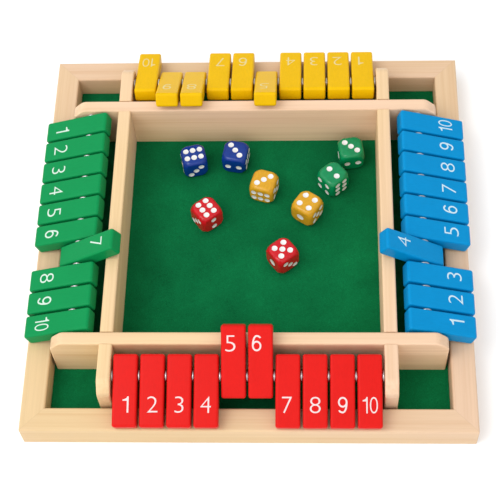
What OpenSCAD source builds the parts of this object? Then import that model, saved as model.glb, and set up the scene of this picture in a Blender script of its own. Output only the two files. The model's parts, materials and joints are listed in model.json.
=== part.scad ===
// Shut the box board for four players. A shallow mitred wooden frame holds a base
// board laid with felt. Four cross-lapped divider walls part the dice tray in the
// middle from a channel on each side, where ten number tiles flip over on a steel
// rod, with a washer on each side of every tile. Eight dice lie in the tray.
// Lengths are in millimetres and angles in degrees. The origin is the centre of the
// frame on the surface that it stands on, with +X to the right, +Y to the back
// and +Z up. Each side of the board is the front side turned about the Z axis.

/* [Frame] */
// Outer length of each side of the square frame
frame_side = 300; // [270:1:360]
// Height of the frame's rails
frame_h = 20; // [17:0.5:22]
// Width of each rail, seen from above
rail_w = 16.3; // [14:0.1:18]
// Radius along the top edges of the rails
rail_round = 1.5; // [0.5:0.25:3]
// Radius of the frame's four upright corners
corner_round = 1; // [0.5:0.5:5]

/* [Floor] */
// Thickness of the base board
board_t = 2; // [1.5:0.1:3]
// How far the board's edge goes under each rail
board_lap = 5; // [3:0.5:8]
// Gap between the board's edge and the rail's rebate
board_gap = 0.15; // [0.05:0.05:0.4]
// Thickness of the felt
felt_t = 0.8; // [0.5:0.1:1.5]
// Gap between the felt's edge and the rails
felt_gap = 0.2; // [0.05:0.05:0.5]

/* [Divider walls] */
// Width of the channels that hold the tiles, from a wall's outer face to the rail
channel_w = 35.7; // [31:0.1:42]
// Thickness of the walls
wall_t = 9; // [8:0.1:11]
// Height of the wall tops above the table
wall_top = 42; // [38:0.1:51]
// Gap between a wall's end and the rail
wall_end_gap = 1.8; // [0.5:0.1:3]
// Length and height of the sloped cut on each wall's top corners
wall_chamfer = 7.5; // [3:0.5:8]
// Radius along the top edges of the walls
wall_round = 0.8; // [0.3:0.1:1.5]
// Clearance between the two halves of a cross lap
lap_fit = 0.1; // [0.05:0.05:0.3]

/* [Rods and washers] */
// Diameter of the rods
rod_d = 4; // [3:0.1:5]
// Distance from a wall's outer face to the middle of the rod beside it
rod_out = 19.7; // [19.2:0.1:20.5]
// Depth of the rod's middle below the wall tops
rod_drop = 7; // [6:0.25:7.5]
// Depth of the blind holes that hold the rods' ends
rod_socket = 6; // [4:0.5:7]
// Gap between a rod's end and the bottom of its hole
rod_end_gap = 0.3; // [0.1:0.1:0.6]
// Radial clearance of the rods in the walls
rod_fit = 0.04; // [0.02:0.01:0.08]
// Outer diameter of the washers
washer_d = 8; // [7:0.25:9]
// Thickness of the washers
washer_t = 1.2; // [0.8:0.1:1.5]
// Radial clearance of the washers on the rods
washer_fit = 0.15; // [0.05:0.05:0.3]

/* [Tiles] */
// Thickness of a tile
tile_t = 10.5; // [9:0.1:12.6]
// Length of a tile from the rod's middle to its numbered end
tile_long = 33.8; // [29:0.1:41]
// Length of a tile from the rod's middle to its plain end
tile_short = 14; // [12:0.5:14.5]
// Radius at the corners of a tile, seen from the side
tile_round = 2; // [1:0.25:3]
// Radius along the long edges of a tile
tile_edge = 1.5; // [0.5:0.25:2]
// Radial clearance of the tiles on the rods
tile_fit = 0.08; // [0.03:0.01:0.1]
// Side play between a tile and the washer beside it
tile_play = 0.22; // [0.1:0.01:0.3]

/* [Dice] */
// Length of a die's edge
die_side = 18; // [14:0.1:22]
// Radius along the edges of a die
die_round = 2.7; // [1.5:0.1:3.5]
// Depth that is turned off each corner of a die
die_corner_cut = 3.2; // [2:0.1:3.6]

/* [Rest] */
// Gap between a loose or hinged piece and what it rests on
seat_gap = 0.1; // [0.05:0.05:0.3]

/* [Hidden] */
$fn = 48;
// Length that a cutting shape runs past the face that it cuts
over = 1;

TILE_COUNT = 10;
// Each row's name, colour, turn about Z from the front side, and numbers that are shut
ROWS = [
    ["red", [0.86, 0.13, 0.12], 0, [5, 6]],
    ["blue", [0.04, 0.50, 0.82], 90, [4]],
    ["yellow", [0.96, 0.75, 0.05], 180, [5, 8, 9]],
    ["green", [0.11, 0.58, 0.32], 270, [7]]
];
// Each die's name, colour, place and turn about Z. The place is counted in die sides
// from the tray's back right corner, to the left and to the front
DICE = [
    ["blue_die_a", [0.10, 0.17, 0.60], [7.39, 1.31], 13],
    ["blue_die_b", [0.10, 0.17, 0.60], [5.7, 1.13], -10],
    ["amber_die_a", [0.87, 0.58, 0.12], [4.52, 2.55], -17],
    ["amber_die_b", [0.87, 0.58, 0.12], [2.79, 3.59], -34],
    ["green_die_a", [0.04, 0.50, 0.29], [1.03, 0.98], 9],
    ["green_die_b", [0.04, 0.50, 0.29], [1.76, 2.23], 40],
    ["red_die_a", [0.82, 0.10, 0.14], [6.78, 3.86], -53],
    ["red_die_b", [0.82, 0.10, 0.14], [3.75, 5.75], -52]
];
PINE = [0.93, 0.80, 0.62];
STEEL = [0.75, 0.76, 0.78];

frame_half = frame_side / 2;
rail_inner = frame_half - rail_w;
felt_top = board_t + felt_t;
wall_outer = rail_inner - channel_w;
tray_half = wall_outer - wall_t;
wall_middle = tray_half + wall_t / 2;
wall_half_length = rail_inner - wall_end_gap;
lap_z = (felt_top + wall_top) / 2;
rod_line = wall_outer + rod_out;
rod_z = wall_top - rod_drop;
rod_half_length = tray_half + rod_socket - rod_end_gap;

// The washers and tiles fill the length between the walls evenly
tile_w = (2 * tray_half - (TILE_COUNT + 1) * (washer_t + 2 * tile_play)) / TILE_COUNT;
tile_pitch = tile_w + washer_t + 2 * tile_play;
function tile_x(number) = (number - (TILE_COUNT + 1) / 2) * tile_pitch;
function washer_x(index) = (index - TILE_COUNT / 2) * tile_pitch;

// An open tile lies down outwards with its rounded end on the rail's top, or with its
// face on the rail's rounded outer edge where its end goes past the edge
end_reach = tile_long - tile_round;
end_depth = tile_t / 2 - tile_round;
end_tilt = asin((rod_z - frame_h - tile_round - seat_gap) / norm([end_reach, end_depth]))
    - atan2(end_depth, end_reach);
rail_out = frame_half - rail_round - rod_line;
rail_down = rod_z - frame_h + rail_round;
rail_tilt = atan2(rail_down, rail_out)
    - asin((tile_t / 2 + rail_round + seat_gap) / norm([rail_out, rail_down]));
open_tilt = max(end_tilt, rail_tilt);
// A shut tile lies up inwards with its face on the rounded top edge of the wall
edge_in = rod_line - wall_outer + wall_round;
edge_up = wall_top - wall_round - rod_z;
shut_tilt = atan2(edge_up, edge_in)
    + asin((tile_t / 2 + wall_round + seat_gap) / norm([edge_in, edge_up]));

function two_digits(number) = str(number < 10 ? "0" : "", number);
function tile_name(row, number) = str(row[0], "_tile_", two_digits(number));
function is_shut(row, number) = len(search(number, row[3])) > 0;

// A rectangle centred on the origin, with its corners rounded to a radius
module rounded_rectangle(size, radius) {
    square([size[0] - 2 * radius, size[1]], center = true);
    square([size[0], size[1] - 2 * radius], center = true);
    for (x = [-1, 1], y = [-1, 1])
        translate([x * (size[0] / 2 - radius), y * (size[1] / 2 - radius)]) circle(radius);
}

// A section that stands on the X axis, with its two upper corners rounded to a radius
module topped_section(width, height, radius) {
    translate([-width / 2, 0]) square([width, height - radius]);
    translate([radius - width / 2, 0]) square([width - 2 * radius, height]);
    for (x = [-1, 1])
        translate([x * (width / 2 - radius), height - radius]) circle(radius);
}

// A front-side section in Y and Z, drawn out along X to a length and centred on X = 0
module along_x(length) {
    translate([-length / 2, 0, 0])
        rotate([90, 0, 90]) linear_extrude(length) children();
}

// One rail of the frame, rebated below for the board and mitred at both ends
module rail(turn) {
    rotate(turn) intersection() {
        along_x(frame_side) difference() {
            translate([rail_w / 2 - frame_half, 0]) topped_section(rail_w, frame_h, rail_round);
            translate([-rail_inner - board_lap, -over]) square([board_lap + over, board_t + over]);
        }
        linear_extrude(frame_h) polygon([
            [-frame_half, -frame_half], [frame_half, -frame_half],
            [rail_inner, -rail_inner], [-rail_inner, -rail_inner]
        ]);
        linear_extrude(frame_h) rounded_rectangle([frame_side, frame_side], corner_round);
    }
}
module rail_front() { color(PINE) rail(0); }
module rail_right() { color(PINE) rail(90); }
module rail_back() { color(PINE) rail(180); }
module rail_left() { color(PINE) rail(270); }

// A square plate centred on the origin, from one height up to another
module floor_plate(half, low, high) {
    translate([-half, -half, low]) cube([2 * half, 2 * half, high - low]);
}
module base_board() {
    color([0.80, 0.68, 0.50]) floor_plate(rail_inner + board_lap - board_gap, 0, board_t);
}
module felt_sheet() {
    color([0.05, 0.36, 0.20]) floor_plate(rail_inner - felt_gap, board_t, felt_top);
}

// One divider wall: cut from below or from above where the others cross it, and
// bored from the tray's side for the ends of two rods
module wall(turn, cut_from_below) {
    lap_low = cut_from_below ? felt_top - over : lap_z - lap_fit / 2;
    lap_high = cut_from_below ? lap_z + lap_fit / 2 : wall_top + over;
    rotate(turn) difference() {
        intersection() {
            translate([0, -tray_half, 0]) rotate([90, 0, 0]) linear_extrude(wall_t) polygon([
                [-wall_half_length, felt_top], [wall_half_length, felt_top],
                [wall_half_length, wall_top - wall_chamfer],
                [wall_half_length - wall_chamfer, wall_top],
                [wall_chamfer - wall_half_length, wall_top],
                [-wall_half_length, wall_top - wall_chamfer]
            ]);
            along_x(2 * wall_half_length)
                translate([-wall_middle, 0]) topped_section(wall_t, wall_top, wall_round);
        }
        for (side = [-1, 1]) {
            translate([side * wall_middle - wall_t / 2 - lap_fit, -wall_outer - over, lap_low])
                cube([wall_t + 2 * lap_fit, wall_t + 2 * over, lap_high - lap_low]);
            translate([side * rod_line, over - tray_half, rod_z])
                rotate([90, 0, 0]) cylinder(d = rod_d + 2 * rod_fit, h = rod_socket + over);
        }
    }
}
module wall_front() { color(PINE) wall(0, true); }
module wall_right() { color(PINE) wall(90, false); }
module wall_back() { color(PINE) wall(180, true); }
module wall_left() { color(PINE) wall(270, false); }

// Puts a piece that is centred on the origin, along X, on one side's rod
module on_rod(turn, x) {
    rotate(turn) translate([x, -rod_line, rod_z]) children();
}
// A cylinder along X, centred on the origin
module bar(diameter, length) {
    rotate([0, 90, 0]) cylinder(d = diameter, h = length, center = true);
}
module pivot_rods() {
    color(STEEL) for (row = ROWS) on_rod(row[2], 0) bar(rod_d, 2 * rod_half_length);
}
module spacer_washers() {
    color(STEEL) for (row = ROWS, index = [0:TILE_COUNT])
        on_rod(row[2], washer_x(index)) difference() {
            bar(washer_d, washer_t);
            bar(rod_d + 2 * washer_fit, washer_t + over);
        }
}

// A tile that lies flat, with its hole on the origin and its numbered end towards -Y
module tile_blank() {
    difference() {
        intersection() {
            along_x(tile_w) translate([(tile_short - tile_long) / 2, 0])
                rounded_rectangle([tile_long + tile_short, tile_t], tile_round);
            translate([0, tile_short, 0]) rotate([90, 0, 0])
                linear_extrude(tile_long + tile_short)
                    rounded_rectangle([tile_w, tile_t], tile_edge);
        }
        bar(rod_d + 2 * tile_fit, tile_w + over);
    }
}
module number_tile(row, number) {
    tilt = is_shut(row, number) ? shut_tilt - 180 : open_tilt;
    color(row[1]) on_rod(row[2], tile_x(number)) rotate([tilt, 0, 0]) tile_blank();
}

// A die centred on the origin, with rounded edges and ball-turned corners
module die_blank() {
    intersection() {
        for (turn = [[0, 0, 0], [90, 0, 0], [0, 90, 0]])
            rotate(turn) linear_extrude(die_side, center = true)
                rounded_rectangle([die_side, die_side], die_round);
        sphere(d = sqrt(3) * die_side - 2 * die_corner_cut);
    }
}
module loose_die(die) {
    place = [tray_half, tray_half] - die_side * die[2];
    color(die[1]) translate([place[0], place[1], felt_top + seat_gap + die_side / 2])
        rotate(die[3]) die_blank();
}

rail_front();
rail_right();
rail_back();
rail_left();
base_board();
felt_sheet();
wall_front();
wall_right();
wall_back();
wall_left();
pivot_rods();
spacer_washers();
for (row = ROWS, number = [1:TILE_COUNT])
    number_tile(row, number);
for (die = DICE)
    loose_die(die);
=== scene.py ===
"""Shut the box board for four players, finished in wood, felt, paint and plastic."""
import json
import math

import bmesh
import bpy
from bpy.props import FloatProperty, FloatVectorProperty, IntProperty, PointerProperty
from mathutils import Matrix, Vector, noise


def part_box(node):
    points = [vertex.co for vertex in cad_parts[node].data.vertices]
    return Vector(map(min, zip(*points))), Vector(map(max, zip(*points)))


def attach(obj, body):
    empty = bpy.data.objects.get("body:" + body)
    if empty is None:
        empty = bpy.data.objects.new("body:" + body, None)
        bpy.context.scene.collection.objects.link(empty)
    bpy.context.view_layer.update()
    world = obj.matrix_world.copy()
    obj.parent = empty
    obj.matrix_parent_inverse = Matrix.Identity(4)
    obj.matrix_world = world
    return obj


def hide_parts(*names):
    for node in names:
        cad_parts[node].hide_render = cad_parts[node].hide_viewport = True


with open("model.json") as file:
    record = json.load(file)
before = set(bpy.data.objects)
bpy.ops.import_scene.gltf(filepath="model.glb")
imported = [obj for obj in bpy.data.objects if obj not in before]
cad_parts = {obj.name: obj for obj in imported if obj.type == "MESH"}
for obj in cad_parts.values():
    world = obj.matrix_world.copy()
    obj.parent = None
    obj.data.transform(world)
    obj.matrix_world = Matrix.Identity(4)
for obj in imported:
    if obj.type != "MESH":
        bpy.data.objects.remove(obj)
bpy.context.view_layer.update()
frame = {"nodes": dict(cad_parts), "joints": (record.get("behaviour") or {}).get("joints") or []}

bl_info = {
    "name": "Shut the box board",
    "version": (1, 0, 0),
    "blender": (4, 5, 0),
    "location": "View3D > Sidebar > Shut the box",
    "description": "Makes the rails, walls, felt, tiles, dice and stage of a number board",
    "category": "Object",
}

# Each side of the board, and the turn in degrees that takes the front side there
SIDES = {"front": 0, "right": 90, "back": 180, "left": 270}
# The row of tiles on each side, with the same turn
ROWS = {"red": SIDES["front"], "blue": SIDES["right"], "yellow": SIDES["back"],
        "green": SIDES["left"]}
ROW_TILES = 10
# The metres in a millimetre, for the small tables that are in mm
MM = 0.001
# How near two places are taken to be the same, and two vertices are merged
TOUCH = 1e-6
MERGE = 1e-7
# How far a cutter reaches past the piece that it cuts
OVERCUT = 0.001
# Each die's turn about Z in degrees, and where its faces 1, 2 and 3 look before that turn
DICE = {
    "blue_die_a": (13, "-Z", "+X", "-Y"),
    "blue_die_b": (-10, "-X", "-Y", "+Z"),
    "amber_die_a": (-17, "+Y", "-X", "+Z"),
    "amber_die_b": (-34, "-Y", "-X", "-Z"),
    "green_die_a": (9, "-X", "-Y", "+Z"),
    "green_die_b": (40, "+Y", "+Z", "+X"),
    "red_die_a": (-53, "-Z", "+X", "-Y"),
    "red_die_b": (-52, "-Y", "-Z", "+X"),
}
# How far a figure is printed off the middle of its open tile, in mm: by number, and for the rest
ACROSS = {1: 0.9, 2: 0.7, 4: 0.0, 7: -0.5, 8: 0.0, 9: 0.0, 10: 0.0}
USUAL_ACROSS = 0.4
# How far it is printed from its usual place, across and towards the rod, in mm: by row on
# the face that is up when the tile is open, and by tile on the other face
OPEN_SHIFTS = {"red": (0.0, 0.4), "blue": (0.2, 0.0), "yellow": (0.0, -1.4), "green": (0.0, -0.9)}
SHUT_SHIFTS = {
    "red_tile_05": (-1.8, -2.6),
    "red_tile_06": (-2.4, -2.8),
    "blue_tile_04": (0.8, -0.4),
    "yellow_tile_05": (1.0, 0.6),
    "yellow_tile_08": (0.6, 0.0),
    "yellow_tile_09": (0.8, 0.4),
    "green_tile_07": (-0.8, 0.0),
}
# Outline of the figure one, in parts of its height
FIGURE_ONE = [(0.255, 0), (0.36, 0), (0.36, 1), (0.282, 1), (0.23, 0.9), (0.12, 0.835),
              (0, 0.805), (0, 0.73), (0.255, 0.73)]
# How much wider some figures are printed than they are drawn
WIDTHS = {"1": 1.05, "2": 1.1, "3": 1.12, "5": 1.16, "8": 1.1}
# How much narrower the two figures of a ten are
TEN_SQUEEZE = 0.8


def length(name, description, default):
    """A length in metres that the user can change."""
    return FloatProperty(name=name, description=description, default=default, min=0, unit="LENGTH",
                         precision=5)


def colour(name, description, default):
    """A linear colour that the user can change."""
    return FloatVectorProperty(name=name, description=description, default=default, min=0, max=1,
                               size=3, subtype="COLOR")


class WoodSettings(bpy.types.PropertyGroup):
    """Sizes and tone of the pine rails and walls."""
    rail_round: length("Rail edge", "Radius along the top edges of the rails", 0.0015)
    corner_round: length("Frame corner", "Radius of the frame's upright corners", 0.001)
    rebate: length("Rebate", "Width of the rebate under each rail", 0.005)
    slope: length("Wall slope", "Height of the sloped cut on each wall's ends", 0.0075)
    slope_round: length("Slope rounding", "Radius where the slope meets the wall's faces", 0.0024)
    wall_edge: length("Wall edge", "Radius along the top edges of the walls", 0.0013)
    lap_fit: length("Lap clearance", "Clearance of the cross laps", 0.0001)
    socket_bore: length("Socket bore", "Diameter of the blind holes for the rods", 0.00408)
    socket_depth: length("Socket depth", "Depth of the blind holes for the rods", 0.006)
    pine: colour("Pine", "Middle tone of the pine", (0.687, 0.500, 0.326))
    late_wood: colour("Late wood", "Tone of the darker growth bands", (0.635, 0.435, 0.265))
    gold_tint: colour("Gold tint", "Tint of the yellower patches", (0.975, 0.965, 0.80))
    rose_tint: colour("Rose tint", "Tint of the pinker patches", (1.0, 0.955, 1.0))
    plywood: colour("Plywood", "Middle tone of the base board", (0.54, 0.39, 0.235))


class FeltSettings(bpy.types.PropertyGroup):
    """Size and tone of the felt."""
    cells: IntProperty(name="Cells", description="Cells along each side of the sheet", default=90,
                       min=10, max=200)
    swell: length("Swell", "Depth of the soft hollows in the felt", 0.00008)
    hollow: length("Hollow", "Size of the soft hollows in the felt", 1 / 60)
    green: colour("Felt", "Middle tone of the felt", (0.0028, 0.124, 0.039))


class TileSettings(bpy.types.PropertyGroup):
    """Sizes, paints and prints of the number tiles, and sizes of their washers."""
    thickness: length("Thickness", "Thickness of a tile", 0.0105)
    reach: length("Reach", "Length from the rod's middle to the numbered end", 0.0338)
    tail: length("Tail", "Length from the rod's middle to the plain end", 0.014)
    corner: length("Corner", "Radius at the corners, seen from the side", 0.002)
    edge: length("Edge", "Radius along the long edges", 0.0015)
    bore: length("Bore", "Diameter of the hole for the rod", 0.00416)
    figure_height: length("Figure height", "Height of the printed figures", 0.0105)
    figure_place: length("Figure place", "Distance from the numbered end to the figure", 0.0143)
    figure_gap: length("Figure gap", "Gap between the two figures of a ten", 0.0014)
    print_depth: length("Print depth", "Height of the print above the paint", 0.00004)
    red: colour("Red", "Paint of the front row", (0.61, 0.0100, 0.0078))
    blue: colour("Blue", "Paint of the right row", (0.0006, 0.232, 0.52))
    yellow: colour("Yellow", "Paint of the back row", (0.73, 0.430, 0.001))
    green: colour("Green", "Paint of the left row", (0.0038, 0.238, 0.067))
    red_print: colour("Print on red", "Print on the front row", (0.69, 0.585, 0.575))
    blue_print: colour("Print on blue", "Print on the right row", (0.52, 0.68, 0.75))
    yellow_print: colour("Print on yellow", "Print on the back row", (0.68, 0.575, 0.25))
    green_print: colour("Print on green", "Print on the left row", (0.56, 0.69, 0.61))
    washer: length("Washer", "Diameter of the spacer washers", 0.008)
    washer_bore: length("Washer bore", "Diameter of the hole in a washer", 0.0043)
    washer_thickness: length("Washer thickness", "Thickness of a washer", 0.0012)
    washer_edge: length("Washer edge", "Radius of the rolled rims of a washer", 0.0005)


class DiceSettings(bpy.types.PropertyGroup):
    """Sizes and colours of the dice."""
    edge: length("Edge", "Radius along the edges", 0.0027)
    corner_cut: length("Corner cut", "Depth turned off each corner", 0.0032)
    pip: length("Pip", "Diameter of a pip", 0.0042)
    big_pip: length("Single pip", "Diameter of the pip on the one", 0.0056)
    pip_depth: length("Pip depth", "Depth of a pip", 0.0004)
    white_print: colour("Pip white", "Paint in the pips", (0.73, 0.73, 0.72))
    blue: colour("Blue", "Plastic of the blue dice", (0.003, 0.031, 0.225))
    amber: colour("Amber", "Plastic of the amber dice", (0.59, 0.305, 0.014))
    green: colour("Green", "Plastic of the green dice", (0.002, 0.22, 0.075))
    red: colour("Red", "Plastic of the red dice", (0.51, 0.0050, 0.0110))


class StageSettings(bpy.types.PropertyGroup):
    """Camera, light and floor."""
    lens: FloatProperty(name="Lens", description="Focal length in mm", default=97.9, min=10)
    eye: FloatVectorProperty(name="Camera", description="Place of the camera", size=3,
                             default=(0.04382, -0.48473, 0.84256), subtype="TRANSLATION")
    turns: FloatVectorProperty(name="Turns", description="Camera's turns about Z, X and Z", size=3,
                               default=tuple(math.radians(a) for a in (5.456, 29.86, -4.87)),
                               subtype="EULER")
    sky: FloatProperty(name="Sky", description="Strength of the even light", default=0.83, min=0)
    front: FloatProperty(name="Front light", description="Strength of the light from the front",
                         default=0.70, min=0)
    left: FloatProperty(name="Left light", description="Strength of the light from the left",
                        default=0.46, min=0)
    lamp: FloatProperty(name="Lamp", description="Power of the overhead lamp", default=5.9, min=0,
                        unit="POWER")
    lamp_side: length("Lamp side", "Side of the overhead lamp", 0.75)
    lamp_place: FloatVectorProperty(name="Lamp place", description="Place of the overhead lamp",
                                    size=3, default=(-0.60, -0.35, 1.15),
                                    subtype="TRANSLATION")
    floor: colour("Floor", "Tone of the floor", (0.96, 0.96, 0.96))
    floor_reach: length("Floor reach", "Distance from the board's middle to the floor's edges", 3)
    floor_drop: length("Floor drop", "Gap between the board and the floor", 0.0001)


class Wire:
    """A node's output, which Python's own operators can be used on."""

    def __init__(self, finish, socket):
        self.finish = finish
        self.socket = socket

    def maths(self, operation, first, second=0.0):
        """One step of arithmetic on two wires or numbers."""
        return self.finish.node("ShaderNodeMath", {"operation": operation}, {0: first, 1: second})

    def __add__(self, other):
        return self.maths("ADD", self, other)

    def __sub__(self, other):
        return self.maths("SUBTRACT", self, other)

    def __rsub__(self, other):
        return self.maths("SUBTRACT", other, self)

    def __mul__(self, other):
        return self.maths("MULTIPLY", self, other)

    def __abs__(self):
        return self.maths("ABSOLUTE", self)

    __radd__ = __add__
    __rmul__ = __mul__


class Nodes:
    """A node tree that is being filled."""

    def __init__(self, tree):
        self.tree = tree

    def put(self, socket, value):
        """Link a wire to a socket, or set a plain value on it."""
        if isinstance(value, Wire):
            self.tree.links.new(value.socket, socket)
        else:
            socket.default_value = value

    def node(self, kind, settings, values, output=0):
        """Add a node: its settings first, then the values or links of its sockets."""
        made = self.tree.nodes.new(kind)
        stops = settings.pop("stops", [])
        for key, value in settings.items():
            setattr(made, key, value)
        for index, (position, tone) in enumerate(stops):
            elements = made.color_ramp.elements
            element = elements[index] if index < 2 else elements.new(position)
            element.position = position
            element.color = (*tone, 1)
        for key, value in values.items():
            self.put(made.inputs[key], value)
        return Wire(self, made.outputs[output])

    def axis(self, vector, name):
        """One part of a vector: X, Y or Z."""
        return self.node("ShaderNodeSeparateXYZ", {}, {0: vector}, name)

    def most(self, first, second):
        """The larger of two values."""
        return self.node("ShaderNodeMath", {"operation": "MAXIMUM"}, {0: first, 1: second})


class Finish(Nodes):
    """A material in the making, on the piece's own object coordinates."""

    def __init__(self, name):
        self.material = bpy.data.materials.new(name)
        self.material.use_nodes = True
        super().__init__(self.material.node_tree)
        self.tree.nodes.clear()
        self.shader = self.tree.nodes.new("ShaderNodeBsdfPrincipled")
        output = self.tree.nodes.new("ShaderNodeOutputMaterial")
        self.tree.links.new(self.shader.outputs["BSDF"], output.inputs["Surface"])
        self.place = self.node("ShaderNodeTexCoord", {}, {}, "Object")

    def grain(self, scale, detail=2.0, roughness=0.5, warp=0.0):
        """Noise whose scale along each axis is given in cells a metre."""
        spread = self.node("ShaderNodeMapping", {}, {"Vector": self.place, "Scale": scale})
        return self.node("ShaderNodeTexNoise", {}, {
            "Vector": spread, "Scale": 1.0, "Detail": detail, "Roughness": roughness,
            "Distortion": warp})

    def ramp(self, value, stops):
        """A colour that goes from stop to stop as a value grows."""
        return self.node("ShaderNodeValToRGB", {"stops": stops}, {0: value})

    def mask(self, value, low, high, start=0.0, end=1.0):
        """Smooth step of a value from one limit to another."""
        return self.node("ShaderNodeMapRange", {"interpolation_type": "SMOOTHSTEP"}, {
            "Value": value, "From Min": low, "From Max": high, "To Min": start, "To Max": end})

    def shade(self, tone, value):
        """A colour made lighter or darker by a value near one."""
        return self.node("ShaderNodeVectorMath", {"operation": "SCALE"}, {
            0: tone, "Scale": value})

    def relief(self, height, depth, strength=1.0):
        """A normal that follows a pattern's height."""
        return self.node("ShaderNodeBump", {}, {
            "Height": height, "Distance": depth, "Strength": strength})

    def surface(self, **values):
        """Set the shader's sockets, named as in Blender with _ for a space."""
        for key, value in values.items():
            self.put(self.shader.inputs[key.replace("_", " ")], value)
        return self.material


def scaled(tone, factor):
    """A plain colour made lighter or darker."""
    return tuple(min(1.0, part * factor) for part in tone)


def pine(name, axis, mitred):
    """Pale planed pine with fine straight grain along one axis, with painted shade over the rails
    and painted light on the walls' upright faces.
    """
    wood = bpy.context.scene.board_wood
    make = Finish(name)

    def along(run, cross):
        return tuple(run if letter == axis else cross for letter in "XYZ")

    rings = make.grain(along(2.5, 150), 3.0, 0.55, 0.2)
    lines = make.grain(along(7, 520), 3.0, 0.6)
    fibres = make.grain(along(60, 3000), 2.0, 0.6)
    patches = make.grain((7, 7, 7), 2.0)
    tone = make.ramp(rings * 0.55 + lines * 0.45, [
        (0.34, tuple(wood.late_wood)), (0.52, tuple(wood.pine)),
        (0.70, scaled(wood.pine, 1.07))])
    tints = make.ramp(make.grain(along(3.5, 9), 2.0), [
        (0.36, tuple(wood.gold_tint)), (0.64, tuple(wood.rose_tint))])
    tone = make.node("ShaderNodeVectorMath", {"operation": "MULTIPLY"}, {0: tone, 1: tints})
    # Painted shade: the rails' pine is painted darker than the walls' (0.86 against 0.95); fibres
    # and patches add random tone
    value = (0.86 if mitred else 0.95) + 0.10 * fibres + 0.10 * patches
    normal = make.node("ShaderNodeTexCoord", {}, {}, "Normal")
    end_face = make.mask(abs(make.axis(normal, axis)), 0.6, 0.95)
    pores = make.grain((900, 900, 900), 3.0, 0.7)
    value = value * (1 - end_face * (0.10 + 0.12 * pores))
    if mitred:
        # A fine dark line where two rails meet
        off_joint = abs(abs(make.axis(make.place, "X")) - abs(make.axis(make.place, "Y")))
        value = value * make.mask(off_joint, 0.00005, 0.0004, 0.91, 1.0)
    else:
        # Painted light: the upright faces of a wall are painted a little lighter than its top
        value = value * (1.12 - 0.12 * abs(make.axis(normal, "Z")))
    height = 0.5 * fibres + 0.3 * lines
    return make.surface(
        Base_Color=make.shade(tone, value),
        Roughness=0.42 + 0.16 * fibres,
        Specular_IOR_Level=0.35,
        Normal=make.relief(height, 0.00006, 0.55))


def plywood():
    """Birch plywood, with soft flame grain and short dark flecks."""
    tone = bpy.context.scene.board_wood.plywood
    make = Finish("plywood_board")
    flames = make.grain((5, 70, 70), 4.0, 0.6, 1.2)
    flecks = make.grain((160, 1800, 1800), 2.0, 0.7)
    shade = make.ramp(flames, [(0.35, scaled(tone, 0.82)), (0.5, tuple(tone)),
                               (0.68, scaled(tone, 1.15))])
    value = 1.06 - 0.22 * make.mask(flecks, 0.56, 0.72)
    return make.surface(
        Base_Color=make.shade(shade, value), Roughness=0.6 + 0.15 * flecks,
        Specular_IOR_Level=0.3, Normal=make.relief(flecks, 0.00006, 0.5))


def felt_finish():
    """Dark pressed felt, with matted fibres and a soft nap."""
    tone = bpy.context.scene.board_felt.green
    make = Finish("green_felt")
    hairs = make.grain((1700, 1700, 1700), 4.0, 0.75, 1.5)
    strands = make.grain((500, 500, 500), 3.0, 0.65, 2.5)
    clouds = make.grain((20, 20, 20), 3.0, 0.6)
    shade = make.ramp(0.6 * hairs + 0.4 * strands, [
        (0.34, scaled(tone, 0.62)), (0.5, tuple(tone)), (0.68, scaled(tone, 1.5))])
    return make.surface(
        Base_Color=make.shade(shade, 0.50 + 1.04 * clouds), Roughness=0.96,
        Specular_IOR_Level=0.03, Sheen_Weight=0.02, Sheen_Roughness=0.5,
        Normal=make.relief(hairs + 0.6 * strands, 0.00025, 0.8))


def steel():
    """Drawn steel for the rods and washers."""
    make = Finish("drawn_steel")
    scratches = make.grain((900, 900, 2200), 3.0, 0.65)
    tarnish = make.grain((120, 120, 120), 2.0)
    shade = make.ramp(tarnish, [(0.35, (0.44, 0.44, 0.45)), (0.65, (0.58, 0.58, 0.59))])
    return make.surface(
        Base_Color=shade, Metallic=1.0, Roughness=0.20 + 0.20 * scratches,
        Normal=make.relief(scratches, 0.00002, 0.4))


def paint(name, tone, axis):
    """Satin paint on wood, which lets the grain along the tile show a little."""
    make = Finish(name)
    stretch = tuple(45 if letter == axis else 900 for letter in "XYZ")
    grain = make.grain(stretch, 3.0, 0.6)
    coat = make.grain((60, 60, 60), 2.0)
    orange_peel = make.grain((1300, 1300, 1300), 2.0)
    shade = make.ramp(grain, [(0.30, scaled(tone, 0.96)), (0.5, tuple(tone)),
                              (0.72, scaled(tone, 1.03))])
    return make.surface(
        Base_Color=make.shade(shade, 0.95 + 0.10 * coat),
        Roughness=0.26 + 0.12 * coat + 0.06 * grain,
        Specular_IOR_Level=0.08,
        Normal=make.relief(0.6 * grain + 0.4 * orange_peel, 0.00003, 0.4))


def figure_print(name, tone):
    """Screen print, a little thin in places."""
    make = Finish(name)
    cover = make.grain((420, 420, 420), 3.0, 0.65)
    return make.surface(
        Base_Color=make.ramp(cover, [(0.30, scaled(tone, 0.93)), (0.55, tuple(tone))]),
        Roughness=0.42 + 0.1 * cover, Specular_IOR_Level=0.3,
        Normal=make.relief(cover, 0.00002, 0.4))


def plastic(name, tone):
    """Polished moulded plastic, with faint flow marks."""
    make = Finish(name)
    flow = make.grain((140, 140, 140), 3.0, 0.5, 3.0)
    dust = make.grain((2600, 2600, 2600), 2.0, 0.6)
    return make.surface(
        Base_Color=make.ramp(flow, [(0.32, scaled(tone, 0.90)), (0.5, tuple(tone)),
                                    (0.70, scaled(tone, 1.10))]),
        Roughness=0.09 + 0.08 * dust,
        Specular_IOR_Level=0.34,
        Normal=make.relief(flow, 0.00004, 0.3))


def floor_finish():
    """Plain pale backdrop paper."""
    make = Finish("pale_paper")
    tone = bpy.context.scene.board_stage.floor
    pulp = make.grain((40, 40, 40), 2.0)
    return make.surface(
        Base_Color=make.ramp(pulp, [(0.3, scaled(tone, 0.995)), (0.7, tuple(tone))]),
        Roughness=0.9, Specular_IOR_Level=0.1)


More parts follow.
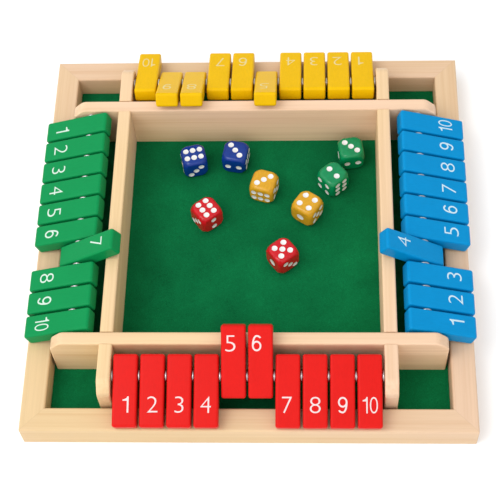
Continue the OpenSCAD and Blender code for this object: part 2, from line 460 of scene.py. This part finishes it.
def finish(name):
    """The material of that name, made the first time that a piece asks for it."""
    known = bpy.data.materials.get(name)
    if known:
        return known
    tiles = bpy.context.scene.board_tiles
    dice = bpy.context.scene.board_dice
    kind, _, tone = name.partition("_of_")
    if kind == "tile_paint":
        return paint(name, getattr(tiles, tone), "Y" if tone in ("red", "yellow") else "X")
    if name.endswith("_print"):
        return figure_print(name, getattr(dice if name == "white_print" else tiles, name))
    if kind == "die_plastic":
        return plastic(name, getattr(dice, tone))
    if kind in ("rail_pine", "wall_pine"):
        return pine(name, tone, kind == "rail_pine")
    return {"plywood_board": plywood, "green_felt": felt_finish, "drawn_steel": steel,
            "pale_paper": floor_finish}[name]()


def fit(bm, low, high):
    """Scale and move a mesh so that it just fills a box."""
    verts = bm.verts[:]
    least = [min(v.co[k] for v in verts) for k in range(3)]
    most = [max(v.co[k] for v in verts) for k in range(3)]
    size = [(high[k] - low[k]) / (most[k] - least[k]) if most[k] > least[k] else 1
            for k in range(3)]
    bmesh.ops.translate(bm, verts=verts, vec=[-part for part in least])
    bmesh.ops.scale(bm, verts=verts, vec=size)
    bmesh.ops.translate(bm, verts=verts, vec=low)


def drawn(bm, points, vec):
    """Make a face from corner points and draw it out into a solid."""
    face = bm.faces.new([bm.verts.new(point) for point in points])
    made = bmesh.ops.extrude_face_region(bm, geom=[face])
    moved = [item for item in made["geom"] if isinstance(item, bmesh.types.BMVert)]
    bmesh.ops.translate(bm, verts=moved, vec=vec)
    bmesh.ops.recalc_face_normals(bm, faces=bm.faces[:])


def cut(bm, point, normal):
    """Cut off what lies on the normal's side of a plane, and close the cut."""
    made = bmesh.ops.bisect_plane(
        bm, geom=bm.verts[:] + bm.edges[:] + bm.faces[:], dist=MERGE,
        plane_co=point, plane_no=normal, clear_outer=True)
    rim = [item for item in made["geom_cut"] if isinstance(item, bmesh.types.BMEdge)]
    bmesh.ops.holes_fill(bm, edges=rim, sides=0)


def rounded(bm, edges, radius, segments):
    """Round some edges off."""
    bmesh.ops.bevel(bm, geom=edges, offset=radius, offset_type="OFFSET", affect="EDGES",
                    segments=segments, profile=0.5, material=-1, clamp_overlap=True)


def mesh_of(bm, name, sharp=35):
    """Turn a bmesh into a smooth mesh with sharp edges past an angle, and free it."""
    bmesh.ops.remove_doubles(bm, verts=bm.verts[:], dist=MERGE)
    bmesh.ops.recalc_face_normals(bm, faces=bm.faces[:])
    mesh = bpy.data.meshes.new(name)
    bm.to_mesh(mesh)
    bm.free()
    soften(mesh, sharp)
    return mesh


def soften(mesh, sharp):
    """Shade a mesh smooth, apart from its edges past an angle in degrees."""
    mesh.shade_smooth()
    mesh.set_sharp_from_angle(angle=math.radians(sharp))


def carved(mesh, tool, sharp=35, operation="DIFFERENCE"):
    """Take one closed mesh out of another, or join them, and give back the result."""
    blank = bpy.data.objects.new("blank", mesh)
    cutter = bpy.data.objects.new("cutter", tool)
    for item in (blank, cutter):
        bpy.context.scene.collection.objects.link(item)
    change = blank.modifiers.new("carve", "BOOLEAN")
    change.operation = operation
    change.solver = "EXACT"
    change.object = cutter
    bpy.context.view_layer.update()
    graph = bpy.context.evaluated_depsgraph_get()
    left = bpy.data.meshes.new_from_object(blank.evaluated_get(graph))
    for item in (blank, cutter):
        bpy.data.objects.remove(item)
    soften(left, sharp)
    return left


def bore(bm, radius, start, end, segments=32):
    """Add a closed cylinder between two points, to be carved out of a piece."""
    start, end = Vector(start), Vector(end)
    turn = (end - start).to_track_quat("Z", "Y").to_matrix().to_4x4()
    bmesh.ops.create_cone(
        bm, cap_ends=True, segments=segments, radius1=radius, radius2=radius,
        depth=(end - start).length, matrix=Matrix.Translation((start + end) / 2) @ turn)


def piece(name, mesh, body, finishes, replaced=()):
    """Put a finished mesh in the scene, on its body and in its material slot."""
    for index, item in enumerate(finishes):
        if index < len(mesh.materials):
            mesh.materials[index] = finish(item)
        else:
            mesh.materials.append(finish(item))
    made = bpy.data.objects.new(name, mesh)
    bpy.context.scene.collection.objects.link(made)
    even = made.modifiers.new("even_shading", "WEIGHTED_NORMAL")
    even.keep_sharp = True
    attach(made, body)
    if replaced:
        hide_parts(*replaced)
    return made


def turned(mesh, matrix):
    """A copy of a mesh in another place."""
    copy = mesh.copy()
    copy.transform(matrix)
    return copy


def pivot_of(node):
    """The point that a tile turns about."""
    return Vector(next(joint for joint in frame["joints"] if joint["child"] == node)["pos_m"])


def rail_mesh():
    """The front rail: rebated below, mitred at both ends, rounded on top."""
    wood = bpy.context.scene.board_wood
    low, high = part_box("rail_front")
    half, top = -low.y, high.z
    inner, step = high.y - wood.rebate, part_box("base_board")[1].z
    bm = bmesh.new()
    drawn(bm, [(-half, low.y, 0), (-half, inner, 0), (-half, inner, step), (-half, high.y, step),
               (-half, high.y, top), (-half, low.y, top)], (2 * half, 0, 0))
    ridges = [e for e in bm.edges
              if min(v.co.z for v in e.verts) > top - TOUCH
              and abs(e.verts[0].co.x - e.verts[1].co.x) > half]
    rounded(bm, ridges, wood.rail_round, 5)
    for side in (-1, 1):
        cut(bm, (0, 0, 0), (side, 1, 0))
        centre = Vector((side * (half - wood.corner_round), wood.corner_round - half, 0))
        for share in (0.25, 0.5, 0.75, 1.0):
            angle = math.radians(-90 + side * 45 * share)
            normal = Vector((math.cos(angle), math.sin(angle), 0))
            cut(bm, centre + wood.corner_round * normal, normal)
    return mesh_of(bm, "rail")


def wall_outline(low, high, from_below):
    """The front wall seen from the front, with its cross laps and its sloped top corners."""
    wood = bpy.context.scene.board_wood
    half, bottom, top = high.x, low.z, high.z
    crossing = -(low.y + high.y) / 2
    slot = (high.y - low.y) / 2 + wood.lap_fit
    lap = (bottom + top) / 2 + (wood.lap_fit if from_below else -wood.lap_fit) / 2
    edge = bottom if from_below else top
    notches = []
    for middle in (-crossing, crossing):
        notches += [(middle - slot, edge), (middle - slot, lap), (middle + slot, lap),
                    (middle + slot, edge)]
    under = notches if from_below else []
    over = [] if from_below else notches[::-1]
    return [(-half, bottom), *under, (half, bottom), (half, top - wood.slope),
            (half - wood.slope, top), *over, (wood.slope - half, top), (-half, top - wood.slope)]


def wall_mesh(from_below):
    """The front wall, notched for its cross laps from below or from above."""
    wood = bpy.context.scene.board_wood
    low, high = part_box("wall_front")
    slope_top, slope_foot = high.x - wood.slope, high.z - wood.slope
    bm = bmesh.new()
    outline = wall_outline(low, high, from_below)
    drawn(bm, [(x, high.y, z) for x, z in outline], (0, low.y - high.y, 0))
    corners = [e for e in bm.edges
               if abs(e.verts[0].co.x - e.verts[1].co.x) < TOUCH
               and abs(e.verts[0].co.z - e.verts[1].co.z) < TOUCH
               and abs(e.verts[0].co.x) > slope_top - TOUCH
               and e.verts[0].co.z > low.z + TOUCH]
    rounded(bm, corners, wood.slope_round, 6)
    bm.normal_update()

    def outer(face):
        spot = face.calc_center_median()
        return abs(face.normal.y) < 0.1 and (spot.z > slope_foot or abs(spot.x) > slope_top)

    rims = [e for e in bm.edges if len(e.link_faces) == 2
            and sorted(abs(face.normal.y) > 0.9 for face in e.link_faces) == [False, True]
            and any(outer(face) for face in e.link_faces)]
    rounded(bm, rims, wood.wall_edge, 3)
    blank = mesh_of(bm, "wall")
    rod = pivot_of("blue_tile_01")
    tool = bmesh.new()
    for side in (-1, 1):
        bore(tool, wood.socket_bore / 2, (side * rod.x, high.y - wood.socket_depth, rod.z),
             (side * rod.x, high.y + OVERCUT, rod.z))
    return carved(blank, mesh_of(tool, "sockets"))


def tile_mesh():
    """A tile that lies flat, with its bore on the origin and its numbered end to the front."""
    tiles = bpy.context.scene.board_tiles
    low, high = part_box("red_tile_01")
    half = (high.x - low.x) / 2
    bm = bmesh.new()
    bmesh.ops.create_cube(bm, size=1)
    fit(bm, (-half, -tiles.reach, -tiles.thickness / 2), (half, tiles.tail, tiles.thickness / 2))
    across = [e for e in bm.edges if abs(e.verts[0].co.x - e.verts[1].co.x) > half]
    rounded(bm, across, tiles.corner, 6)
    bm.normal_update()
    rims = [e for e in bm.edges
            if sorted(abs(face.normal.x) > 0.9 for face in e.link_faces) == [False, True]]
    rounded(bm, rims, tiles.edge, 3)
    blank = mesh_of(bm, "tile")
    tool = bmesh.new()
    bore(tool, tiles.bore / 2, (-half - OVERCUT, 0, 0), (half + OVERCUT, 0, 0))
    return carved(blank, mesh_of(tool, "tile_bore"))


def washer_mesh():
    """A washer round the X axis, with rolled rims."""
    tiles = bpy.context.scene.board_tiles
    rim, bore_radius = tiles.washer / 2, tiles.washer_bore / 2
    half, edge = tiles.washer_thickness / 2, tiles.washer_edge
    profile = [(-half, bore_radius)]
    for centre, start in ((edge - half, 180), (half - edge, 90)):
        for step in range(4):
            angle = math.radians(start - 30 * step)
            profile.append((centre + edge * math.cos(angle), rim - edge + edge * math.sin(angle)))
    profile.append((half, bore_radius))
    bm = bmesh.new()
    verts = [bm.verts.new((along, 0, out)) for along, out in profile]
    edges = [bm.edges.new(pair) for pair in zip(verts, verts[1:] + verts[:1])]
    bmesh.ops.spin(bm, geom=verts + edges, cent=(0, 0, 0), axis=(1, 0, 0), angle=2 * math.pi,
                   steps=32, use_merge=False)
    return mesh_of(bm, "washer")


def tile_place(node):
    """Where a tile lies: the matrix that takes the flat tile to its rest pose."""
    tiles = bpy.context.scene.board_tiles
    pivot = pivot_of(node)
    low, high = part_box(node)
    shut = high.z - pivot.z > pivot.z - low.z
    reach = high.z - pivot.z if shut else pivot.z - low.z
    run, rise = tiles.reach - tiles.corner, tiles.thickness / 2 - tiles.corner
    tilt = math.asin((reach - tiles.corner) / math.hypot(run, rise)) - math.atan2(rise, run)
    tilt = tilt - math.pi if shut else tilt
    turn = math.radians(ROWS[node.split("_")[0]])
    return (Matrix.Translation(pivot) @ Matrix.Rotation(turn, 4, "Z")
            @ Matrix.Rotation(tilt, 4, "X"))


def arc(centre, radii, start, end, steps):
    """Points along an ellipse between two angles in degrees, each with its outward direction."""
    points = []
    for step in range(steps + 1):
        angle = math.radians(start + (end - start) * step / steps)
        point = Vector((centre[0] + radii[0] * math.cos(angle),
                        centre[1] + radii[1] * math.sin(angle)))
        outward = Vector((math.cos(angle) / radii[0], math.sin(angle) / radii[1])).normalized()
        points.append((point, outward))
    return points


def figure_six(stroke=0.106):
    """The figure six of unit height: a bowl and a curved tail, joined into one solid."""
    half = stroke / 2
    # Where the curves of the bowl, the back and the tip have their centres, and the tip's reach
    middle, bowl_rise, back_rise, tip_rise, tip_reach = 0.29, 0.325, 0.36, 0.78, 0.225
    bowl = bmesh.new()
    ring = arc((middle, bowl_rise), (middle - half, bowl_rise - half), 0, 360, 32)[:-1]
    outer = [point + outward * half for point, outward in ring]
    inner = [point - outward * half for point, outward in ring]
    drawn(bowl, [(x, y, -0.5) for x, y in outer], (0, 0, 1))
    hole = bmesh.new()
    drawn(hole, [(x, y, -1) for x, y in inner], (0, 0, 2))
    tail = arc((middle, back_rise), (middle - half, 1 - back_rise - half), 182, 92, 12)
    tail += arc((middle, tip_rise), (tip_reach, 1 - tip_rise - half), 86, 14, 8)
    strip = [point + outward * half for point, outward in tail]
    strip += [point - outward * half for point, outward in reversed(tail)]
    band = bmesh.new()
    drawn(band, [(x, y, -0.5) for x, y in strip], (0, 0, 1))
    ring_mesh = carved(mesh_of(bowl, "bowl"), mesh_of(hole, "bowl_hole"))
    return carved(ring_mesh, mesh_of(band, "tail"), operation="UNION")


def font_figure(text):
    """One digit of the built-in font, made thinner, as a flat mesh a unit thick."""
    curve = bpy.data.curves.new("figure", "FONT")
    curve.body = text
    curve.extrude = 0.5
    curve.offset = -0.016
    curve.resolution_u = 5
    holder = bpy.data.objects.new("figure", curve)
    bpy.context.scene.collection.objects.link(holder)
    bpy.context.view_layer.update()
    graph = bpy.context.evaluated_depsgraph_get()
    mesh = bpy.data.meshes.new_from_object(holder.evaluated_get(graph))
    bpy.data.objects.remove(holder)
    return mesh


def figure_mesh(number):
    """The printed figures of one tile: centred on the origin, a unit thick."""
    tiles = bpy.context.scene.board_tiles
    height = tiles.figure_height
    bm = bmesh.new()
    start = 0.0
    squeeze = TEN_SQUEEZE if number > 9 else 1.0
    for digit in str(number):
        part = bmesh.new()
        if digit == "1":
            drawn(part, [(x, y, -0.5) for x, y in FIGURE_ONE], (0, 0, 1))
        elif digit in "69":
            part.from_mesh(figure_six())
            if digit == "9":
                bmesh.ops.rotate(part, verts=part.verts[:], matrix=Matrix.Rotation(math.pi, 3, "Z"))
        else:
            part.from_mesh(font_figure(digit))
        least = Vector([min(v.co[k] for v in part.verts) for k in range(3)])
        most = Vector([max(v.co[k] for v in part.verts) for k in range(3)])
        width = (most.x - least.x) / (most.y - least.y) * height * squeeze
        width *= WIDTHS.get(digit, 1.0)
        fit(part, (start, -height / 2, -0.5), (start + width, height / 2, 0.5))
        start += width + tiles.figure_gap
        held = bpy.data.meshes.new("digit")
        part.to_mesh(held)
        part.free()
        bm.from_mesh(held)
    bmesh.ops.translate(bm, verts=bm.verts[:], vec=((tiles.figure_gap - start) / 2, 0, 0))
    return mesh_of(bm, "figures")


def printed_mesh(node, number, flat):
    """The figures on both faces of a flat tile."""
    tiles = bpy.context.scene.board_tiles
    depth = 2 * tiles.print_depth
    away = tiles.figure_place - tiles.reach
    across, along = OPEN_SHIFTS[node.split("_")[0]]
    across += ACROSS.get(number, USUAL_ACROSS)
    shifts = {1: (across, along), -1: SHUT_SHIFTS.get(node, (0.0, 0.0))}
    bm = bmesh.new()
    for side, (across, along) in shifts.items():
        face = Matrix.Translation((across * MM, away + along * MM, side * tiles.thickness / 2))
        turn = Matrix.Identity(4) if side == 1 else Matrix.Rotation(math.pi, 4, "X")
        bm.from_mesh(turned(flat, face @ turn @ Matrix.Diagonal((1, 1, depth, 1))))
    return mesh_of(bm, "print")


def pip_places(face):
    """Where a face's pips lie along its two axes, in mm."""
    corner, pair, row, gap = 3.9, 4.0, 5.1, 3.15
    corners = [(a, b) for a in (-corner, corner) for b in (-corner, corner)]
    return {
        1: [(0, 0)],
        2: [(-pair, 0), (pair, 0)],
        3: [(-corner, corner), (0, 0), (corner, -corner)],
        4: corners,
        5: corners + [(0, 0)],
        6: [(a, b) for a in (-row, 0, row) for b in (-gap, gap)],
    }[face]


def pip_mesh(radius, depth):
    """A closed dish that looks up on the origin, to be carved out of a die."""
    bm = bmesh.new()
    # Distances from the middle, in parts of the radius, and heights
    profile = [(0, OVERCUT / 2), (1, OVERCUT / 2), (1, 0), (0.80, -0.55 * depth),
               (0.45, -0.90 * depth), (0, -depth)]
    verts = [bm.verts.new((share * radius, 0, level)) for share, level in profile]
    edges = [bm.edges.new(pair) for pair in zip(verts, verts[1:])]
    bmesh.ops.spin(bm, geom=verts + edges, cent=(0, 0, 0), axis=(0, 0, 1), angle=2 * math.pi,
                   steps=24, use_merge=False)
    bmesh.ops.remove_doubles(bm, verts=bm.verts[:], dist=TOUCH)
    for face in bm.faces:
        face.material_index = 1
    return mesh_of(bm, "pip", 25)


def die_mesh(side):
    """A die with face 1 on +X, 2 on +Y and 3 on +Z, its pips sunk and painted."""
    dice = bpy.context.scene.board_dice
    bm = bmesh.new()
    bmesh.ops.create_cube(bm, size=side)
    rounded(bm, bm.edges[:], dice.edge, 6)
    long_edges = [e for e in bm.edges if e.calc_length() > side - 2 * dice.edge - TOUCH]
    bmesh.ops.subdivide_edges(bm, edges=long_edges, cuts=5, use_grid_fill=True)
    ball = math.sqrt(3) * side / 2 - dice.corner_cut
    for vert in bm.verts:
        if vert.co.length > ball:
            vert.co *= ball / vert.co.length
    blank = mesh_of(bm, "die", 25)
    tool = bmesh.new()
    pips = {width: pip_mesh(width / 2, dice.pip_depth) for width in (dice.pip, dice.big_pip)}
    axes = [Vector((1, 0, 0)), Vector((0, 1, 0)), Vector((0, 0, 1))]
    for face in range(1, 7):
        number, sign = (face, 1) if face < 4 else (7 - face, -1)
        out = axes[number - 1] * sign
        first, second = [axis for index, axis in enumerate(axes) if index != number - 1]
        mirrored = first.cross(second).dot(out) < 0
        basis = (second, first, out) if mirrored else (first, second, out)
        stand = Matrix(basis).transposed().to_4x4()
        width = dice.big_pip if face == 1 else dice.pip
        for a, b in pip_places(face):
            spot = out * side / 2 + (first * a + second * b) * MM
            tool.from_mesh(turned(pips[width], Matrix.Translation(spot) @ stand))
    tool_mesh = mesh_of(tool, "pips", 25)
    for mesh in (blank, tool_mesh):
        mesh.materials.append(finish("die_plastic_of_blue"))
        mesh.materials.append(finish("white_print"))
    return carved(blank, tool_mesh, 25)


class MakeRails(bpy.types.Operator):
    """Make the four mitred rails of the frame."""
    bl_idname = "shut_the_box.make_rails"
    bl_label = "Make rails"

    def execute(self, context):
        mesh = rail_mesh()
        for side, turn in SIDES.items():
            axis = "X" if side in ("front", "back") else "Y"
            piece(f"rail_{side}_wood", turned(mesh, Matrix.Rotation(math.radians(turn), 4, "Z")),
                  "board", [f"rail_pine_of_{axis}"], [f"rail_{side}"])
        return {"FINISHED"}


class MakeWalls(bpy.types.Operator):
    """Make the four cross-lapped walls round the dice tray."""
    bl_idname = "shut_the_box.make_walls"
    bl_label = "Make walls"

    def execute(self, context):
        for side, turn in SIDES.items():
            along_x = side in ("front", "back")
            mesh = wall_mesh(along_x)
            mesh.transform(Matrix.Rotation(math.radians(turn), 4, "Z"))
            piece(f"wall_{side}_wood", mesh, "board",
                  [f"wall_pine_of_{'X' if along_x else 'Y'}"], [f"wall_{side}"])
        return {"FINISHED"}


class MakeWashers(bpy.types.Operator):
    """Make the washers that keep the tiles of each row apart."""
    bl_idname = "shut_the_box.make_washers"
    bl_label = "Make washers"

    def execute(self, context):
        ring = washer_mesh()
        bm = bmesh.new()
        for row, angle in ROWS.items():
            first, second = pivot_of(f"{row}_tile_01"), pivot_of(f"{row}_tile_02")
            turn = Matrix.Rotation(math.radians(angle), 4, "Z")
            for gap in range(ROW_TILES + 1):
                spot = first + (gap - 0.5) * (second - first)
                bm.from_mesh(turned(ring, Matrix.Translation(spot) @ turn))
        piece("washers_turned", mesh_of(bm, "washers"), "board", ["drawn_steel"],
              ["spacer_washers"])
        return {"FINISHED"}


class FinishBoardAndRods(bpy.types.Operator):
    """Finish the base board and the rods, which keep their own meshes."""
    bl_idname = "shut_the_box.finish_board_and_rods"
    bl_label = "Finish board and rods"

    def execute(self, context):
        for node, name in (("base_board", "plywood_board"), ("pivot_rods", "drawn_steel")):
            mesh = frame["nodes"][node].data
            if not mesh.materials:
                mesh.materials.append(None)
            for index in range(len(mesh.materials)):
                mesh.materials[index] = finish(name)
        return {"FINISHED"}


class LayFelt(bpy.types.Operator):
    """Lay the felt on the base board."""
    bl_idname = "shut_the_box.lay_felt"
    bl_label = "Lay felt"

    def execute(self, context):
        settings = context.scene.board_felt
        low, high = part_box("felt_sheet")
        bm = bmesh.new()
        bmesh.ops.create_grid(bm, x_segments=settings.cells, y_segments=settings.cells, size=1)
        bmesh.ops.solidify(bm, geom=bm.faces[:], thickness=0.1)
        fit(bm, low, high)
        for vert in bm.verts:
            if vert.co.z > (low.z + high.z) / 2:
                share = noise.noise(vert.co / settings.hollow) * 0.5 + 0.5
                vert.co.z -= settings.swell * share
        felt = piece("felt_cloth", mesh_of(bm, "felt"), "board", ["green_felt"],
                     ["felt_sheet"])
        return {"FINISHED"}


class MakeTiles(bpy.types.Operator):
    """Make the forty number tiles."""
    bl_idname = "shut_the_box.make_tiles"
    bl_label = "Make tiles"

    def execute(self, context):
        mesh = tile_mesh()
        for row in ROWS:
            for number in range(1, ROW_TILES + 1):
                node = f"{row}_tile_{number:02d}"
                piece(f"{node}_painted", turned(mesh, tile_place(node)), node,
                      [f"tile_paint_of_{row}"], [node])
        return {"FINISHED"}


class PrintFigures(bpy.types.Operator):
    """Print a figure on both faces of each tile."""
    bl_idname = "shut_the_box.print_figures"
    bl_label = "Print figures"

    def execute(self, context):
        for number in range(1, ROW_TILES + 1):
            flat = figure_mesh(number)
            for row in ROWS:
                node = f"{row}_tile_{number:02d}"
                mesh = printed_mesh(node, number, flat)
                mesh.transform(tile_place(node))
                piece(f"{node}_figures", mesh, node, [f"{row}_print"])
        return {"FINISHED"}


class MakeDice(bpy.types.Operator):
    """Make the eight dice."""
    bl_idname = "shut_the_box.make_dice"
    bl_label = "Make dice"

    def execute(self, context):
        looks = {}
        for axis, arrow in zip("XYZ", Matrix.Identity(3)):
            looks["+" + axis] = arrow.copy()
            looks["-" + axis] = -arrow
        low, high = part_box("blue_die_a")
        mesh = die_mesh(high.z - low.z)
        for node, (turn, *faces) in DICE.items():
            low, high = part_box(node)
            stand = Matrix([looks[face] for face in faces]).transposed().to_4x4()
            if stand.determinant() < 0:
                raise RuntimeError(f"the faces of {node} are those of a mirrored die")
            spot = Matrix.Translation((low + high) / 2)
            spin = Matrix.Rotation(math.radians(turn), 4, "Z")
            tone = node.split("_")[0]
            piece(f"{node}_moulded", turned(mesh, spot @ spin @ stand), node,
                  [f"die_plastic_of_{tone}", "white_print"], [node])
        return {"FINISHED"}


def place_camera(scene, stage):
    """Look at the board from the photo's viewing angle."""
    camera = bpy.data.objects.new("camera", bpy.data.cameras.new("camera"))
    camera.data.lens = stage.lens
    camera.data.sensor_width = 36
    camera.data.clip_start = 0.01
    first, tilt, last = stage.turns
    turn = (Matrix.Rotation(first, 4, "Z") @ Matrix.Rotation(tilt, 4, "X")
            @ Matrix.Rotation(last, 4, "Z"))
    camera.matrix_world = Matrix.Translation(stage.eye) @ turn
    scene.collection.objects.link(camera)
    scene.camera = camera


def light_sky(scene, stage):
    """Even light, with more from above the front and above the left."""
    world = bpy.data.worlds.new("even_sky")
    world.use_nodes = True
    background = world.node_tree.nodes["Background"]
    background.inputs["Color"].default_value = (1, 1, 1, 1)
    sky = Nodes(world.node_tree)
    towards = sky.node("ShaderNodeTexCoord", {}, {}, "Generated")
    height = 2 * sky.most(sky.axis(towards, "Z"), 0.0)
    front = sky.most(0 - sky.axis(towards, "Y"), 0.0) * height
    left = sky.most(0 - sky.axis(towards, "X"), 0.0) * height
    sky.put(background.inputs["Strength"],
            stage.front * front + stage.left * left + stage.sky)
    scene.world = world


def hang_lamp(scene, stage):
    """Hang a large soft lamp over the board, turned towards its middle."""
    lamp = bpy.data.objects.new("soft_lamp", bpy.data.lights.new("soft_lamp", "AREA"))
    lamp.data.shape = "SQUARE"
    lamp.data.size = stage.lamp_side
    lamp.data.energy = stage.lamp
    place = Vector(stage.lamp_place)
    aim = place.to_track_quat("Z", "Y").to_matrix().to_4x4()
    lamp.matrix_world = Matrix.Translation(place) @ aim
    scene.collection.objects.link(lamp)


def lay_floor(scene, stage):
    """Lay the pale floor just under the board."""
    bm = bmesh.new()
    bmesh.ops.create_grid(bm, x_segments=4, y_segments=4, size=1)
    reach, level = stage.floor_reach, -stage.floor_drop
    fit(bm, (-reach, -reach, level), (reach, reach, level))
    mesh = bpy.data.meshes.new("floor")
    bm.to_mesh(mesh)
    bm.free()
    mesh.materials.append(finish("pale_paper"))
    floor = bpy.data.objects.new("floor", mesh)
    scene.collection.objects.link(floor)


class SetStage(bpy.types.Operator):
    """Set the camera, the light and the floor."""
    bl_idname = "shut_the_box.set_stage"
    bl_label = "Set stage"

    def execute(self, context):
        scene = context.scene
        scene.view_settings.view_transform = "Standard"
        scene.view_settings.look = "None"
        for part in (place_camera, light_sky, hang_lamp, lay_floor):
            part(scene, scene.board_stage)
        return {"FINISHED"}


OPERATORS = (MakeRails, MakeWalls, MakeWashers, FinishBoardAndRods, LayFelt, MakeTiles,
             PrintFigures, MakeDice, SetStage)
SETTINGS = {"board_wood": WoodSettings, "board_felt": FeltSettings, "board_tiles": TileSettings,
            "board_dice": DiceSettings, "board_stage": StageSettings}


class BoardPanel(bpy.types.Panel):
    """Lists the settings and the makers of the board's pieces."""
    bl_idname = "VIEW3D_PT_shut_the_box"
    bl_label = "Shut the box"
    bl_space_type = "VIEW_3D"
    bl_region_type = "UI"
    bl_category = "Shut the box"

    def draw(self, context):
        for operator in OPERATORS:
            self.layout.operator(operator.bl_idname)
        for name, group in SETTINGS.items():
            box = self.layout.box()
            box.label(text=name.replace("_", " ").capitalize())
            for key in group.__annotations__:
                box.prop(getattr(context.scene, name), key)


def register():
    """Add the settings, the makers and the panel."""
    for item in (*SETTINGS.values(), *OPERATORS, BoardPanel):
        bpy.utils.register_class(item)
    for name, group in SETTINGS.items():
        setattr(bpy.types.Scene, name, PointerProperty(type=group))


def unregister():
    """Take them all out again."""
    for name in SETTINGS:
        delattr(bpy.types.Scene, name)
    for item in (BoardPanel, *reversed(OPERATORS), *reversed(SETTINGS.values())):
        bpy.utils.unregister_class(item)


def main():
    """Make every piece in order."""
    register()
    for operator in OPERATORS:
        group, name = operator.bl_idname.split(".")
        if getattr(getattr(bpy.ops, group), name)() != {"FINISHED"}:
            raise RuntimeError(f"{operator.bl_label} did not finish")


if __name__ == "__main__":
    main()
